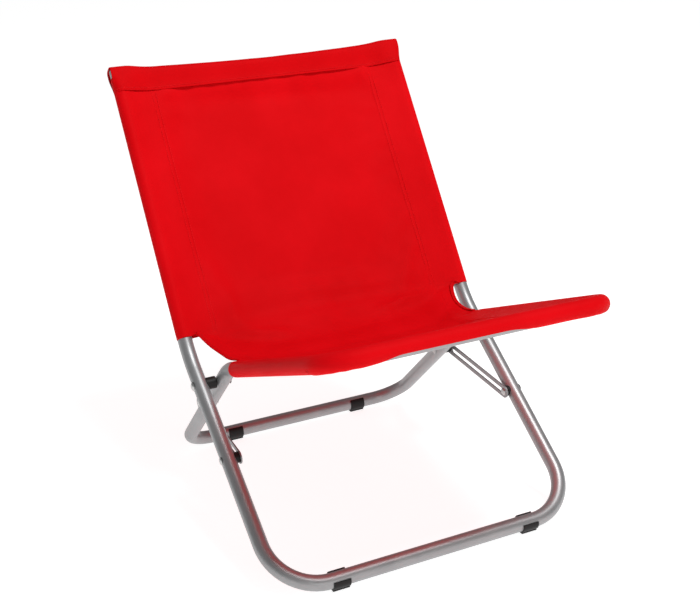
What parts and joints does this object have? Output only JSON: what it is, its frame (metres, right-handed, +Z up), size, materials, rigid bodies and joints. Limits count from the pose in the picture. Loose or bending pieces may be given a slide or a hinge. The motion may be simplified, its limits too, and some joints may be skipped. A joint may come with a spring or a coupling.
{
  "type": "folding camp chair",
  "caption": "Low folding camp chair: bent steel tube frames crossed on side rivets, slotted stays that set the opening, and a fabric sling for seat and back.",
  "frame": {"origin": "on the floor, below the middle of the open chair's bounding box", "axes": "the sitter faces -Y, +X is to the right seen from the front, +Z is up"},
  "size_m": [0.5, 0.7006, 0.6336],
  "materials": {
    "frame_tube": "satin silver-grey",
    "rivet": "bright",
    "black_plastic": "matte",
    "sling_fabric": "plain-weave polyester, matte"
  },
  "bodies": {
    "back_frame": {"back_frame_tube": "frame_tube", "top_crossbar": "frame_tube", "top_plug_left": "black_plastic", "top_plug_right": "black_plastic", "front_foot_clip_left": "black_plastic", "front_foot_clip_right": "black_plastic", "pivot_rivet_left": "rivet", "pivot_rivet_right": "rivet", "pivot_spacer_left": "black_plastic", "pivot_spacer_right": "black_plastic", "slot_pin_left": "rivet", "slot_pin_right": "rivet", "slot_spacer_left": "black_plastic", "slot_spacer_right": "black_plastic", "back_sling": "sling_fabric"},
    "seat_frame": {"seat_rail_tube": "frame_tube", "rear_leg_tube": "frame_tube", "joint_insert_left": "frame_tube", "joint_insert_right": "frame_tube", "joint_rivet_left": "rivet", "joint_rivet_right": "rivet", "rear_foot_clip_left": "black_plastic", "rear_foot_clip_right": "black_plastic", "stay_stub_left": "rivet", "stay_stub_right": "rivet", "stay_spacer_left": "black_plastic", "stay_spacer_right": "black_plastic", "seat_sling": "sling_fabric"},
    "bush_left": {"slot_bush_left": "black_plastic"},
    "bush_right": {"slot_bush_right": "black_plastic"},
    "stay_left": {"stay_left": "frame_tube", "stay_rivet_left": "rivet"},
    "stay_right": {"stay_right": "frame_tube", "stay_rivet_right": "rivet"}
  },
  "joints": [
    {"name": "fold", "type": "hinge", "parent": "back_frame", "child": "seat_frame", "pos_m": [0, 0.04514, 0.21097], "axis": [-1, 0, 0], "range_deg": [0, 92]},
    {"name": "stay_turn_left", "type": "hinge", "parent": "back_frame", "child": "bush_left", "pos_m": [-0.2195, -0.05667, 0.13673], "axis": [-1, 0, 0], "range_deg": [-10, 0]},
    {"name": "stay_slide_left", "type": "slide", "parent": "bush_left", "child": "stay_left", "axis": [0, -0.9958, -0.0921], "range_m": [0, 0.126]},
    {"name": "stay_turn_right", "type": "hinge", "parent": "back_frame", "child": "bush_right", "pos_m": [0.2195, -0.05667, 0.13673], "axis": [-1, 0, 0], "range_deg": [-10, 0]},
    {"name": "stay_slide_right", "type": "slide", "parent": "bush_right", "child": "stay_right", "axis": [0, -0.9958, -0.0921], "range_m": [0, 0.126]}
  ],
  "couplings": [
    {"joint": "stay_turn_left", "follows": "fold", "ratio": -0.10722},
    {"joint": "stay_slide_left", "follows": "fold", "m_per_rad": 0.078204},
    {"joint": "stay_turn_right", "follows": "fold", "ratio": -0.10722},
    {"joint": "stay_slide_right", "follows": "fold", "m_per_rad": 0.078204}
  ]
}
